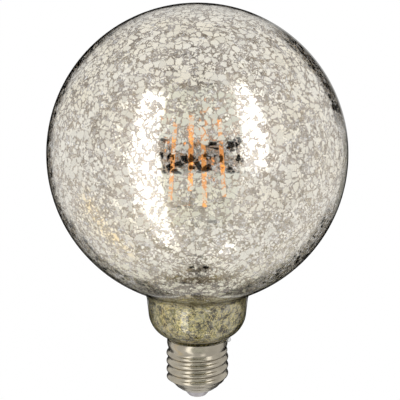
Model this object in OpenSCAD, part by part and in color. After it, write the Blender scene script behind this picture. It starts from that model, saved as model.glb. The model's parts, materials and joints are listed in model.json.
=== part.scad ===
// LED filament globe bulb with an E27 screw cap, in millimetres.
// It stands cap down: the origin is the tip of the centre contact, and +Z runs up the bulb's axis.

/* [Globe] */
// Outer diameter of the blown ball
globe_d = 125; // [121:0.5:128]
// Overall length from the contact tip to the top of the ball
overall_h = 169.5; // [168:0.5:173]
// Wall thickness of the blown glass
glass_t = 0.9; // [0.7:0.1:1.1]

/* [Neck] */
// Radius of the hollow sweep between ball and neck
throat_fillet = 8; // [6:0.5:9]
// Taper of the neck wall from upright, in degrees
neck_taper = 6; // [4:1:8]
// Radius of the round shoulder at the foot of the neck
bowl_r = 11; // [10.5:0.25:11.5]
// Distance of that shoulder's arc centre from the axis
bowl_offset = 9.6; // [9.3:0.1:9.9]
// Height of that arc centre above the rim of the cap
bowl_lift = 11.7; // [11.5:0.1:12.5]
// Outer radius of the glass tube that goes down into the cap
tube_r = 11.2; // [11:0.1:11.3]

/* [Screw cap] */
// Height of the cap from the contact tip to the rim
cap_h = 26.5; // [26.2:0.1:27]
// Outer diameter over the thread crests
thread_d = 26.2; // [26.1:0.05:26.4]
// Thread pitch
thread_pitch = 3.629; // [3.6:0.001:3.66]
// Depth of the round thread from crest to root
thread_depth = 1.05; // [0.95:0.05:1.1]
// Height of a crest on the side that faces +X
crest_z = 17.69; // [17:0.01:18.5]
// Outer diameter of the plain skirt above the thread
skirt_d = 25.6; // [25.4:0.1:25.8]
// Sheet thickness of the shell
sheet_t = 0.3; // [0.2:0.05:0.35]
// Diameter of the shell's mouth round the insulator
mouth_d = 12; // [11.6:0.1:12.2]

/* [Contact and insulator] */
// Diameter of the centre contact's head
contact_d = 5.6; // [5:0.1:6.4]
// Thickness of the centre contact's head
contact_t = 0.6; // [0.5:0.1:0.8]
// Diameter of the insulator's lower face
insulator_foot_d = 7.8; // [7.2:0.1:8.6]

/* [Filaments] */
// Length of the phosphor coat on one filament
coat_l = 33.5; // [30:0.5:34.5]
// Width of the phosphor coat
coat_w = 2.1; // [1.8:0.1:2.4]
// Radius of the filament cage at the coats' upper ends
cage_top_r = 9.4; // [8.5:0.1:10.5]
// Radius of the filament cage at the coats' lower ends
cage_foot_r = 11.7; // [10.8:0.1:12.5]
// Turn of the cage about the axis, in degrees
cage_turn = 15; // [0:1:30]

/* [Stem] */
// Outer diameter of the stem tube and of the press
stem_d = 7; // [6.6:0.1:7.4]
// Height of the top of the press
press_top = 77; // [74:0.5:79]
// Height of the press
press_h = 12; // [10:0.5:13]
// Diameter of the glass rod above the press
rod_d = 2.6; // [2:0.1:3]

/* [Hidden] */
$fn = 48;

globe_r = globe_d / 2;
globe_z = overall_h - globe_r;
bowl_z = cap_h + bowl_lift;
// The lower sweep, where the round shoulder turns down into the tube
foot_fillet = 1.5;
throat_steps = 16;
bowl_steps = 18;
foot_steps = 6;
// The neck's section starts this far inside the ball's surface
seam_lap = 0.02;
// The neck tube ends here, on the rim of the stem's flare
seal_z = 17.5;

// Thread form: round crest and root arcs of one radius that meet at mid flank
thread_r = thread_d / 2;
root_r = thread_r - thread_depth;
arc_r = (pow(thread_pitch, 2) / 4 + pow(thread_depth, 2)) / (4 * thread_depth);
thread_fade_low = [6.4, 9.2];
thread_fade_high = [20.0, 22.4];
skirt_blend = [20.8, 24.2];
thread_low = 8.8;
thread_high = 20.8;
shell_columns = 40;
shoulder_rows = 12;
thread_rows = 33;
skirt_rows = 7;
mouth_r = mouth_d / 2;
mouth_z = 3.4;
shoulder_power = 1.54;
ridge_count = 3;
ridge_h = 0.14;
rim_curl = 0.12;
rim_curl_h = 1;
// The thread's rows start this far above the last row of the shoulder
row_gap = 0.35;
// A round piece clears the flat facets of the shell by this factor
facet_fit = cos(180 / shell_columns);

insulator_top = 5.2;
insulator_edge = 0.3;
flange_w = 1.5;
flange_rise = 0.75;
// The insulator's flange clears the rolled mouth of the shell by this much
flange_gap = 0.06;
shank_d = 2;

// Cement between the neck tube and the skirt
cement_low = 22.6;
cement_gap = 0.02;

// Filament frame: local Z runs up the filament, local X points away from the bulb's axis
coat_z = globe_z - 2.6;
coat_thick = 1.6;
cage_tilt = asin((cage_foot_r - cage_top_r) / coat_l);
cage_mid_r = (cage_top_r + cage_foot_r) / 2;
strip_w = 1.0;
strip_t = 0.4;
strip_over = 0.9;
tab_t = 0.2;
tab_w = 0.9;
tab_l = 2.6;
filament_angles = [cage_turn + 180, cage_turn + 270, cage_turn, cage_turn + 90];

lead_d = 0.8;
link_d = 0.6;
seal_d = 0.45;
outer_d = 0.5;
lead_r = 2.1;
wire_bend_r = 0.8;
weld_l = 1.5;
press_t = 3.2;
stem_t = 0.8;
seal_embed = 2;
button_r = 2.4;
link_gap = 0.7;
link_turn_r = 1.2;
// The rod above the press is fused this far into it
rod_seat = 1;
// Flat rim of the stem's flare, which the neck tube's end is sealed to
flare_rim = 1;
// Pump tube: a bore up into the press, a side vent there, and a drawn-off solid tip
pump_r = 1.5;
pump_bore_r = 0.9;
pump_bore_seat = 2;
pump_tip_z = 19;
pump_tip_r = 0.4;
pump_cone_h = 1.2;
vent_r = 0.63;
vent_lift = 1.3;

// Driver board frame: local X runs along the board, local Y is its thickness
board = [18, 0.8, 9.8];
board_z = 6.4;
board_turn = cage_turn - asin((board.y / 2 + outer_d / 2) / lead_r);
outer_lead_foot = 12.6;
// Leads of the board's parts end this far off its face
solder_film = 0.1;
neutral_d = 0.4;
neutral_r = tube_r + 0.27;
neutral_y = -board.y / 2 - neutral_d / 2;
neutral_x = sqrt(pow(neutral_r, 2) - pow(neutral_y, 2));
neutral_z = 14;
neutral_bend_r = 0.4;
// Where the neutral wire leaves the board, and how far over the rim it crosses
neutral_start = board.x / 2 - 2;
rim_clearance = 0.06;
// End of the nail, under the live wire that lies between it and the board
nail_top = board_z - outer_d - 0.05;
live_start = -0.3;
live_run = 3.3;
live_rise = 2;
// Solder bump: a ball of this radius, moved out from the skirt and down from the rim
solder_r = 1.15;
solder_out = 0.25;
solder_down = 0.75;

// Sizes of the globe's outline, all found from the tangency of its arcs

// Angle at the ball's centre from straight down to the centre of the throat sweep
throat_angle = asin((bowl_r + throat_fillet + bowl_offset * cos(neck_taper)
    + (globe_z - bowl_z) * sin(neck_taper)) / (globe_r + throat_fillet)) - neck_taper;
throat_x = (globe_r + throat_fillet) * sin(throat_angle);
throat_z = globe_z - (globe_r + throat_fillet) * cos(throat_angle);
// Height where the hollow sweep passes into the neck's straight wall
waist_z = throat_z + throat_fillet * sin(neck_taper);
foot_x = tube_r + foot_fillet;
foot_z = bowl_z - sqrt(pow(bowl_r + foot_fillet, 2) - pow(foot_x - bowl_offset, 2));

// Points along an arc round c, both ends included
function arc(c, r, from, to, steps) =
    [for (i = [0 : steps]) let(a = from + (to - from) * i / steps) c + r * [cos(a), sin(a)]];

// The neck's half outline from inside the ball down, drawn in by inset from the outer surface
function neck_outline(inset) =
    let(throat = [throat_x, throat_z], bowl = [bowl_offset, bowl_z], foot = [foot_x, foot_z],
        start = [0, globe_z] + (globe_r - inset - seam_lap) * [sin(throat_angle), -cos(throat_angle)],
        foot_angle = atan2(foot_z - bowl_z, foot_x - bowl_offset),
        step = (90 - neck_taper - throat_angle) / throat_steps)
    concat([[0, globe_z], start],
        arc(throat, throat_fillet + inset, 90 + throat_angle + step, 180 - neck_taper, throat_steps - 1),
        arc(bowl, bowl_r - inset, -neck_taper, foot_angle, bowl_steps),
        arc(foot, foot_fillet + inset, foot_angle + 180, 180, foot_steps),
        [[tube_r - inset, seal_z - inset], [0, seal_z - inset]]);

// The envelope as a filled body: the ball and the neck with its tube
module envelope_body(inset) {
    translate([0, 0, globe_z]) sphere(r = globe_r - inset, $fn = 96);
    rotate_extrude($fn = 96) polygon(neck_outline(inset));
}

// One length of the blown envelope, which is a single piece of glass: the ball down to the neck's
// waist, the cup below it, and the tube that the cap hides
module envelope(low, high) {
    color([0.79, 0.77, 0.70, 0.45])
        intersection() {
            difference() {
                envelope_body(0);
                envelope_body(glass_t);
            }
            translate([0, 0, low]) cylinder(d = 1.1 * globe_d, h = high - low);
        }
}

module glass_globe() {
    envelope(waist_z, overall_h + 1);
}

module glass_neck() {
    envelope(foot_z, waist_z);
}

module neck_tube() {
    envelope(seal_z - glass_t, foot_z);
}

// Half section of the flare and the stem tube, up to the foot of the press
module flare_section() {
    flare_r = tube_r - flare_rim - stem_d / 2;
    flare_z = seal_z + flare_r;
    intersection() {
        translate([stem_d / 2 + flare_r, flare_z])
            difference() {
                circle(r = flare_r + stem_t);
                circle(r = flare_r);
            }
        translate([0, flare_z - 2 * tube_r]) square([stem_d / 2 + flare_r, 2 * tube_r]);
    }
    translate([tube_r - flare_rim, seal_z - stem_t]) square([flare_rim, stem_t]);
    translate([stem_d / 2 - stem_t, flare_z])
        square([stem_t, press_top - press_h - flare_z]);
}

// The pinched top of the tube: a round bar with a scoop taken off both faces
module press_body() {
    scoop_r = 2 * press_h;
    difference() {
        translate([0, 0, press_top - press_h])
            cylinder(d = stem_d, h = press_h);
        for (side = [-1, 1])
            translate([0, side * (press_t / 2 + scoop_r), press_top - press_h / 3])
                rotate([0, 90, 0])
                    cylinder(r = scoop_r, h = 2 * stem_d, center = true, $fn = 96);
    }
}

module glass_stem() {
    color([0.82, 0.86, 0.84, 0.5])
        rotate([0, 0, cage_turn])
            difference() {
                union() {
                    rotate_extrude() flare_section();
                    press_body();
                    translate([0, 0, press_top - rod_seat])
                        cylinder(d = rod_d, h = upper_link_z - press_top + rod_seat);
                    translate([0, 0, upper_link_z]) sphere(r = button_r);
                    pump_tube();
                }
                translate([0, 0, pump_tip_z + pump_cone_h])
                    cylinder(r = pump_bore_r,
                        h = press_top - press_h + pump_bore_seat - pump_tip_z - pump_cone_h);
                translate([0, 0, press_top - press_h + vent_lift])
                    rotate([90, 0, 0])
                        cylinder(r = vent_r, h = stem_d);
                for (side = [-1, 1])
                    translate([side * lead_r, 0, 0]) lead_core(lead_d, seal_d, outer_d);
                for (level = [-1, 1])
                    rotate([0, 0, 90 * (level + 1)])
                        translate([0, 0, upper_link_z + level * link_gap])
                            upper_link_shape(0);
            }
}

// Sealed pump tube that hangs from the press down the middle of the stem
module pump_tube() {
    translate([0, 0, pump_tip_z]) {
        translate([0, 0, pump_cone_h])
            cylinder(r = pump_r, h = press_top - press_h - pump_tip_z - pump_cone_h);
        cylinder(r1 = pump_tip_r, r2 = pump_r, h = pump_cone_h);
    }
}

// The three diameters of a lead-in on its way through the press
module lead_core(upper, middle, lower) {
    translate([0, 0, press_top - seal_embed])
        cylinder(d = upper, h = seal_embed + 1);
    translate([0, 0, press_top - press_h + seal_embed])
        cylinder(d = middle, h = press_h - 2 * seal_embed);
    translate([0, 0, press_top - press_h - 1])
        cylinder(d = lower, h = seal_embed + 1);
}

module seal_wires() {
    color([0.72, 0.38, 0.26])
        rotate([0, 0, cage_turn])
            for (side = [-1, 1])
                translate([side * lead_r, 0, press_top - press_h + seal_embed])
                    cylinder(d = seal_d, h = press_h - 2 * seal_embed);
}

// A bend of a round wire in the XZ plane: it enters along +X and turns towards +Z if turn is positive
module wire_bend(d, turn, bend_r) {
    mirror([0, 0, turn < 0 ? 1 : 0])
        translate([0, 0, bend_r])
            rotate([90, 90, 0])
                rotate_extrude(angle = abs(turn))
                    translate([bend_r, 0])
                        circle(d = d, $fn = 24);
}

// A round wire of straight legs joined by bends, in the XZ plane, that sets off along +X
module bent_wire(d, legs, turns, bend_r, i = 0) {
    rotate([0, 90, 0]) cylinder(d = d, h = legs[i], $fn = 24);
    if (i < len(turns))
        translate([legs[i], 0, 0]) {
            wire_bend(d, turns[i], bend_r);
            translate([bend_r * sin(abs(turns[i])), 0, sign(turns[i]) * bend_r * (1 - cos(turns[i]))])
                rotate([0, -turns[i], 0])
                    bent_wire(d, legs, turns, bend_r, i + 1);
        }
}

// Heights of the coats' two ends, and how far the strip leans in over its bare end
coat_foot_z = coat_z - coat_l / 2 * cos(cage_tilt);
coat_top_z = coat_z + coat_l / 2 * cos(cage_tilt);
tab_lean = strip_over * sin(cage_tilt);
// The tongues start this far off the coats' ends, whose faces lean with the filament
tongue_gap = coat_thick / 2 * sin(cage_tilt);
// Height of a weld's end above or below the coat
weld_gap = 0.5;

// Inner faces of the upright tongues, measured from the bulb's axis
foot_tongue_r = cage_foot_r - strip_t / 2 - tab_t;
top_tongue_r = cage_top_r - strip_t / 2 - tab_t - tab_lean;

// The lead wires' arms run at this level, and their ends stand on this radius
lower_arm_z = coat_foot_z - weld_gap - weld_l - wire_bend_r;
lower_weld_r = foot_tongue_r - lead_d / 2;
// The same for the links that join the upper tabs, halfway between the two links
upper_link_z = coat_top_z + weld_gap + weld_l + wire_bend_r + link_gap;
upper_weld_r = top_tongue_r - link_d / 2;

// A lead rises from the press, bends out to its own filament and up along the filament's tab
module inner_lead(side) {
    color([0.66, 0.64, 0.60])
        rotate([0, 0, cage_turn + (side < 0 ? 180 : 0)])
            translate([lead_r, 0, press_top - seal_embed])
                rotate([0, -90, 0])
                    bent_wire(lead_d,
                        [lower_arm_z - press_top + seal_embed - wire_bend_r,
                         lower_weld_r - lead_r - 2 * wire_bend_r, weld_l],
                        [-90, 90], wire_bend_r);
}

// A branch is welded to the side of its lead's arm and runs to the next filament
module branch_wire(side) {
    root = [lead_r + wire_bend_r + lead_d / 2, -lead_d];
    tip = [0, -lower_weld_r];
    run = tip - root;
    heading = atan2(run.y, run.x);
    color([0.62, 0.60, 0.57])
        rotate([0, 0, cage_turn + (side < 0 ? 180 : 0)])
            translate([root.x, root.y, lower_arm_z])
                rotate([0, 0, heading])
                    bent_wire(lead_d, [norm(run) - wire_bend_r, weld_l], [90], wire_bend_r);
}

// A link runs from one filament's upper tab in to the glass button, turns there and runs out to the
// next tab; its ends bend down by drop, or stay straight where drop is 0
module upper_link_shape(drop) {
    arm = upper_weld_r - link_turn_r - (drop > 0 ? wire_bend_r : 0);
    for (half = [0, 1])
        mirror([half, -half, 0])
            translate([link_turn_r, 0, 0])
                bent_wire(link_d, drop > 0 ? [arm, drop] : [arm], drop > 0 ? [-90] : [], wire_bend_r);
    translate([link_turn_r, link_turn_r, 0])
        rotate([0, 0, 180])
            rotate_extrude(angle = 90)
                translate([link_turn_r, 0])
                    circle(d = link_d, $fn = 24);
}

// The higher link of the two comes down by longer legs
module upper_link(level) {
    color([0.66, 0.64, 0.60])
        rotate([0, 0, cage_turn + 90 * (level + 1)])
            translate([0, 0, upper_link_z + level * link_gap])
                upper_link_shape(weld_l + (level + 1) * link_gap);
}

// Places its children in the frame of filament n
module at_filament(n) {
    rotate([0, 0, filament_angles[n - 1]])
        translate([cage_mid_r, 0, coat_z])
            rotate([0, -cage_tilt, 0])
                children();
}

module filament_strip(n) {
    color([0.86, 0.84, 0.78])
        at_filament(n)
            cube([strip_t, strip_w, coat_l + 2 * strip_over], center = true);
}

// A bar of phosphor with round long edges, cast round the strip
module filament_coat(n) {
    corner = coat_thick / 2;
    color([0.93, 0.52, 0.20])
        at_filament(n)
            difference() {
                translate([0, 0, -coat_l / 2])
                    linear_extrude(coat_l) {
                        for (side = [-1, 1])
                            translate([0, side * (coat_w / 2 - corner)]) circle(r = corner, $fn = 32);
                        square([2 * corner, coat_w - 2 * corner], center = true);
                    }
                cube([strip_t, strip_w, coat_l + 1], center = true);
            }
}

// Two metal end tabs: a clip folded round the strip's end, and an upright tongue for the weld
module filament_tabs(n) {
    color([0.70, 0.69, 0.66]) {
        at_filament(n)
            for (end = [0, 1])
                mirror([0, 0, end])
                    translate([-strip_t / 2 - tab_t, 0, coat_l / 2]) {
                        translate([0, -strip_w / 2 - tab_t, 0])
                            cube([tab_t, strip_w + 2 * tab_t, strip_over]);
                        for (side = [-1, 1])
                            translate([0, side * (strip_w + tab_t) / 2 - tab_t / 2, 0])
                                cube([strip_t + tab_t, tab_t, strip_over]);
                    }
        rotate([0, 0, filament_angles[n - 1]]) {
            translate([foot_tongue_r, -tab_w / 2, coat_foot_z - tab_l])
                cube([tab_t, tab_w, tab_l - tongue_gap]);
            translate([top_tongue_r, -tab_w / 2, coat_top_z + tongue_gap])
                cube([tab_t, tab_w, tab_l - tongue_gap]);
        }
    }
}

// A tinned lead drops from the press through the stem tube and lies on one face of the board
module outer_lead(side) {
    color([0.74, 0.74, 0.72])
        rotate([0, 0, cage_turn])
            translate([side * lead_r, 0, outer_lead_foot])
                cylinder(d = outer_d, h = press_top - press_h + seal_embed - outer_lead_foot, $fn = 24);
}

// Baked cement between the neck tube and the skirt of the shell, with the neutral wire's channel
module cement_ring() {
    high = min(cap_h - 0.3, foot_z);
    skirt_in = (skirt_d / 2 - sheet_t) * facet_fit - cement_gap;
    foot_in = wall_row(cement_low)[2] * facet_fit - cement_gap;
    color([0.80, 0.78, 0.70])
        difference() {
            rotate_extrude($fn = 96)
                polygon([[tube_r, cement_low], [foot_in, cement_low],
                    [skirt_in, skirt_blend[1] + cement_gap], [skirt_in, high], [tube_r, high]]);
            rotate([0, 0, board_turn])
                translate([neutral_x, neutral_y, 0])
                    cylinder(d = neutral_d, h = 2 * cap_h, $fn = 24);
        }
}

// Smooth step from 0 to 1 between two heights
function fade(z, span) = let(t = min(1, max(0, (z - span[0]) / (span[1] - span[0])))) t * t * (3 - 2 * t);

// Height of the round thread over its root at distance u from a crest, on a surface that lies depth
// t inside the sheet's outer face
function thread_rise(u, t) = u <= (arc_r - t) * thread_pitch / (4 * arc_r)
    ? thread_depth - arc_r + sqrt(pow(arc_r - t, 2) - u * u)
    : arc_r - sqrt(pow(arc_r + t, 2) - pow(thread_pitch / 2 - u, 2));

// How far the thread stands over the plain shell at height z and angle a
function thread_lift(z, a, t) =
    let(w = (z - crest_z) / thread_pitch - a / 360)
    fade(z, thread_fade_low) * (1 - fade(z, thread_fade_high))
    * (t + thread_rise(abs(w - round(w)) * thread_pitch, t));

// Rows of the plain shell from mouth to rim: outer radius, outer height, inner radius, inner height
function shoulder_row(s) =
    let(dr = root_r - mouth_r,
        dz = (thread_low - mouth_z) * shoulder_power * pow(s, shoulder_power - 1),
        slope = norm([dr, dz]),
        r = mouth_r + dr * s + ridge_h * (1 - cos(360 * ridge_count * s)) / 2,
        z = mouth_z + (thread_low - mouth_z) * pow(s, shoulder_power))
    [r, z, r - sheet_t * dz / slope, z + sheet_t * dr / slope];
function wall_row(z) =
    let(r = root_r + (skirt_d / 2 - root_r) * fade(z, skirt_blend)
            + rim_curl * pow(max(0, (z - cap_h + rim_curl_h) / rim_curl_h), 2))
    [r, z, r - sheet_t, z];
shell_rows = concat(
    [for (i = [0 : shoulder_rows - 1]) shoulder_row(i / shoulder_rows)],
    [for (i = [0 : thread_rows])
        wall_row(thread_low + row_gap + (thread_high - thread_low - row_gap) * i / thread_rows)],
    [for (i = [1 : skirt_rows]) wall_row(thread_high + (cap_h - thread_high) * i / skirt_rows)]);

// The E27 shell: one sheet with a rolled right-hand thread, stepped shoulder and curled rim
module screw_shell() {
    rows = len(shell_rows);
    cols = shell_columns;
    outer = [for (row = shell_rows, i = [0 : cols - 1])
        let(a = 360 * i / cols, r = row[0] + thread_lift(row[1], a, 0))
        [r * cos(a), r * sin(a), row[1]]];
    inner = [for (row = shell_rows, i = [0 : cols - 1])
        let(a = 360 * i / cols, r = row[2] + thread_lift(row[3], a, sheet_t))
        [r * cos(a), r * sin(a), row[3]]];
    n = rows * cols;
    walls = [for (j = [0 : rows - 2], i = [0 : cols - 1])
        let(k = (i + 1) % cols, a = j * cols + i, b = j * cols + k, c = a + cols, d = b + cols)
        each [[a, c, d], [a, d, b], [n + a, n + d, n + c], [n + a, n + b, n + d]]];
    edges = [for (i = [0 : cols - 1])
        let(k = (i + 1) % cols, top = n - cols)
        each [[top + i, n + top + i, n + top + k], [top + i, n + top + k, top + k],
            [i, k, n + k], [i, n + k, n + i]]];
    color([0.74, 0.71, 0.66])
        polyhedron(points = concat(outer, inner), faces = concat(walls, edges), convexity = 10);
}

// Glass ring gripped by the shell's mouth, cone outside and flange inside
module cap_insulator() {
    waist = mouth_r * facet_fit - cement_gap / 2;
    color([0.78, 0.76, 0.80])
        difference() {
            rotate_extrude($fn = 72)
                polygon([[0, contact_t], [insulator_foot_d / 2 - insulator_edge, contact_t],
                    [insulator_foot_d / 2, contact_t + insulator_edge], [waist, mouth_z],
                    [waist, mouth_z + sheet_t + flange_gap],
                    [waist + flange_w, mouth_z + sheet_t + flange_rise],
                    [waist + flange_w, insulator_top], [0, insulator_top]]);
            cylinder(d = shank_d, h = 2 * insulator_top);
        }
}

// Nail contact: a flat round-edged head and a shank up through the insulator
module centre_contact() {
    color([0.80, 0.76, 0.66])
        rotate_extrude() {
            translate([contact_d / 2 - contact_t, contact_t])
                intersection() {
                    circle(r = contact_t);
                    translate([0, -contact_t]) square(contact_t);
                }
            square([contact_d / 2 - contact_t, contact_t]);
            square([shank_d / 2, nail_top]);
        }
}

// Solder bump on the outside of the rim, over the end of the neutral wire
module side_solder() {
    color([0.78, 0.78, 0.77])
        difference() {
            rotate([0, 0, board_turn])
                translate([skirt_d / 2 + solder_out, neutral_y, cap_h - solder_down])
                    sphere(r = solder_r);
            cylinder(r = skirt_d / 2 + rim_curl, h = 2 * cap_h, $fn = 96);
            neutral_path();
        }
}

// The neutral wire climbs between tube and skirt, crosses the rim and ends in the solder
module neutral_path() {
    over = skirt_d / 2 + rim_curl + neutral_d / 2 + 0.1;
    cross_z = cap_h + rim_clearance + neutral_d / 2;
    bend = neutral_bend_r;
    rotate([0, 0, board_turn])
        translate([neutral_start, neutral_y, neutral_z])
            bent_wire(neutral_d,
                [neutral_x - neutral_start - bend, cross_z - neutral_z - 2 * bend,
                 over - neutral_x - 2 * bend, neutral_d],
                [90, -90, -90], bend);
}

module neutral_wire() {
    color([0.74, 0.74, 0.72]) neutral_path();
}

// The live wire lies on the end of the nail and turns up the back of the board
module live_wire() {
    color([0.74, 0.74, 0.72])
        rotate([0, 0, board_turn])
            translate([live_start, (board.y + outer_d) / 2, nail_top + outer_d / 2])
                bent_wire(outer_d, [live_run, live_rise], [90], wire_bend_r);
}

module at_board() {
    rotate([0, 0, board_turn]) translate([0, 0, board_z]) children();
}

module driver_board() {
    hole_d = 1;
    hole_side = 2.2;
    hole_down = 1.6;
    color([0.20, 0.42, 0.24])
        at_board()
            difference() {
                translate([-board.x / 2, -board.y / 2, 0]) cube(board);
                for (side = [-1, 1])
                    translate([side * (board.x / 2 - hole_side), -board.y, board.z - hole_down])
                        rotate([-90, 0, 0])
                            cylinder(d = hole_d, h = 2 * board.y);
            }
}

// A moulded chip on the board's front face: tapered body and a row of legs along both long sides
module chip(x, z, body, legs, leg_w) {
    pitch = body.x / legs;
    taper = 0.1;
    leg_t = 0.2;
    foot_l = 0.9;
    at_board()
        translate([x, -board.y / 2, z]) {
            translate([0, 0, -body.z / 2])
                linear_extrude(body.z)
                    polygon([[-body.x / 2, -taper], [body.x / 2, -taper], [body.x / 2 - taper, -body.y],
                        [-body.x / 2 + taper, -body.y]]);
            for (i = [0 : legs - 1], side = [0, 1])
                mirror([0, 0, side])
                    translate([(i - (legs - 1) / 2) * pitch - leg_w / 2, 0, body.z / 2]) {
                        translate([0, -leg_t, 0]) cube([leg_w, leg_t, foot_l]);
                        translate([0, -body.y / 2 - leg_t / 2, 0])
                            cube([leg_w, body.y / 2 + leg_t / 2, leg_t]);
                    }
        }
}

module bridge_rectifier() {
    color([0.16, 0.16, 0.17]) chip(-5.6, 4.6, [4.2, 1.5, 3.6], 2, 0.6);
}

module driver_chip() {
    color([0.14, 0.14, 0.15]) chip(2.6, 4.6, [4.8, 1.4, 3.8], 4, 0.4);
}

// A component's lead: it leaves along +X and bends back to the board's back face, reach away
module board_lead(reach) {
    stub = 0.2;
    rotate([90, 0, 0])
        bent_wire(outer_d, [stub, reach - wire_bend_r - solder_film], [90], wire_bend_r);
}

// Electrolytic can lying on the board's back face, crimped near its foot
module storage_capacitor() {
    can_r = 2.5;
    can_l = 8.4;
    crimp_r = 0.6;
    crimp_depth = 0.25;
    crimp_at = 1.6;
    color([0.22, 0.24, 0.30])
        at_board()
            translate([-7.4, board.y / 2 + can_r, 3]) {
                rotate([0, 90, 0])
                    rotate_extrude()
                        difference() {
                            square([can_r, can_l]);
                            translate([can_r + crimp_r - crimp_depth, crimp_at]) circle(r = crimp_r);
                        }
                for (side = [-1, 1])
                    translate([can_l, 0, side]) board_lead(can_r);
            }
}

module chip_resistors() {
    body = [0.8, 0.5, 1.6];
    color([0.10, 0.10, 0.11])
        at_board()
            for (place = [[-1.4, 2.6], [-1.4, 4.6], [7.2, 2.4]])
                translate([place.x - body.x / 2, -board.y / 2 - body.y, place.y - body.z / 2])
                    cube(body);
}

// Axial fusible resistor standing on the board's back face
module fuse_resistor() {
    body_l = 5.2;
    body_r = 1.1;
    end_l = 1.4;
    waist_r = 0.9;
    lift = 0.1;
    color([0.55, 0.66, 0.58])
        at_board()
            translate([6.2, board.y / 2 + body_r + lift, 4.9]) {
                rotate_extrude() {
                    for (end = [0, 1])
                        mirror([0, end])
                            translate([0, body_l / 2 - end_l]) square([body_r, end_l]);
                    translate([0, end_l - body_l / 2]) square([waist_r, body_l - 2 * end_l]);
                }
                for (end = [0, 1])
                    mirror([0, 0, end])
                        translate([0, 0, body_l / 2])
                            rotate([0, -90, 0]) board_lead(body_r + lift);
            }
}

glass_globe();
glass_neck();
neck_tube();
glass_stem();
seal_wires();
inner_lead(-1);  // inner_lead_left
inner_lead(1);  // inner_lead_right
branch_wire(-1);  // branch_wire_left
branch_wire(1);  // branch_wire_right
upper_link(-1);  // upper_link_left
upper_link(1);  // upper_link_right
for (n = [1 : 4]) {
    filament_strip(n);
    filament_coat(n);
    filament_tabs(n);
}
outer_lead(-1);  // outer_lead_left
outer_lead(1);  // outer_lead_right
cement_ring();
screw_shell();
cap_insulator();
centre_contact();
side_solder();
neutral_wire();
live_wire();
driver_board();
bridge_rectifier();
driver_chip();
storage_capacitor();
chip_resistors();
fuse_resistor();
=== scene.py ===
"""Looks of an LED globe bulb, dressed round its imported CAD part, and the studio of the photograph.

Every piece is in metres in the CAD frame: the origin is the contact's tip and +Z runs up the axis.
"""

import json
import logging
import math
from collections.abc import Sequence
from dataclasses import dataclass, field
from enum import Enum

import bpy
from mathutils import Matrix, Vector

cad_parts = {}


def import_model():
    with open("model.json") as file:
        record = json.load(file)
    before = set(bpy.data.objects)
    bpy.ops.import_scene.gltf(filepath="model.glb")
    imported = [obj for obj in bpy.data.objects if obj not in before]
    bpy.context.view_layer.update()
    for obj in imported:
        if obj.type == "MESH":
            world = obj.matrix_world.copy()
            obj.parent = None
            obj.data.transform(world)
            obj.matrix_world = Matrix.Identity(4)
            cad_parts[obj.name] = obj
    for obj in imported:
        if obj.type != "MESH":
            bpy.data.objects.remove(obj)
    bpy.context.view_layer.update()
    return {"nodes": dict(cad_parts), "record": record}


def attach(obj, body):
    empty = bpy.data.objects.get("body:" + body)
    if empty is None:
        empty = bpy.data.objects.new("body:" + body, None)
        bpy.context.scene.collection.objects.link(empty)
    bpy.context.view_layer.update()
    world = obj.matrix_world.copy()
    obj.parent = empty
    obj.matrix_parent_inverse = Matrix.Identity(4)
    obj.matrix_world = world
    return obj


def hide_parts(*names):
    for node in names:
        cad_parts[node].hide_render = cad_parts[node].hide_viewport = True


LOG = logging.getLogger("bulb")
MM = 0.001
ROOT = "root"

Colour = tuple[float, float, float]
Profile = list[tuple[float, float]]
Input = float | Sequence[float] | bpy.types.NodeSocket


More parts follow.
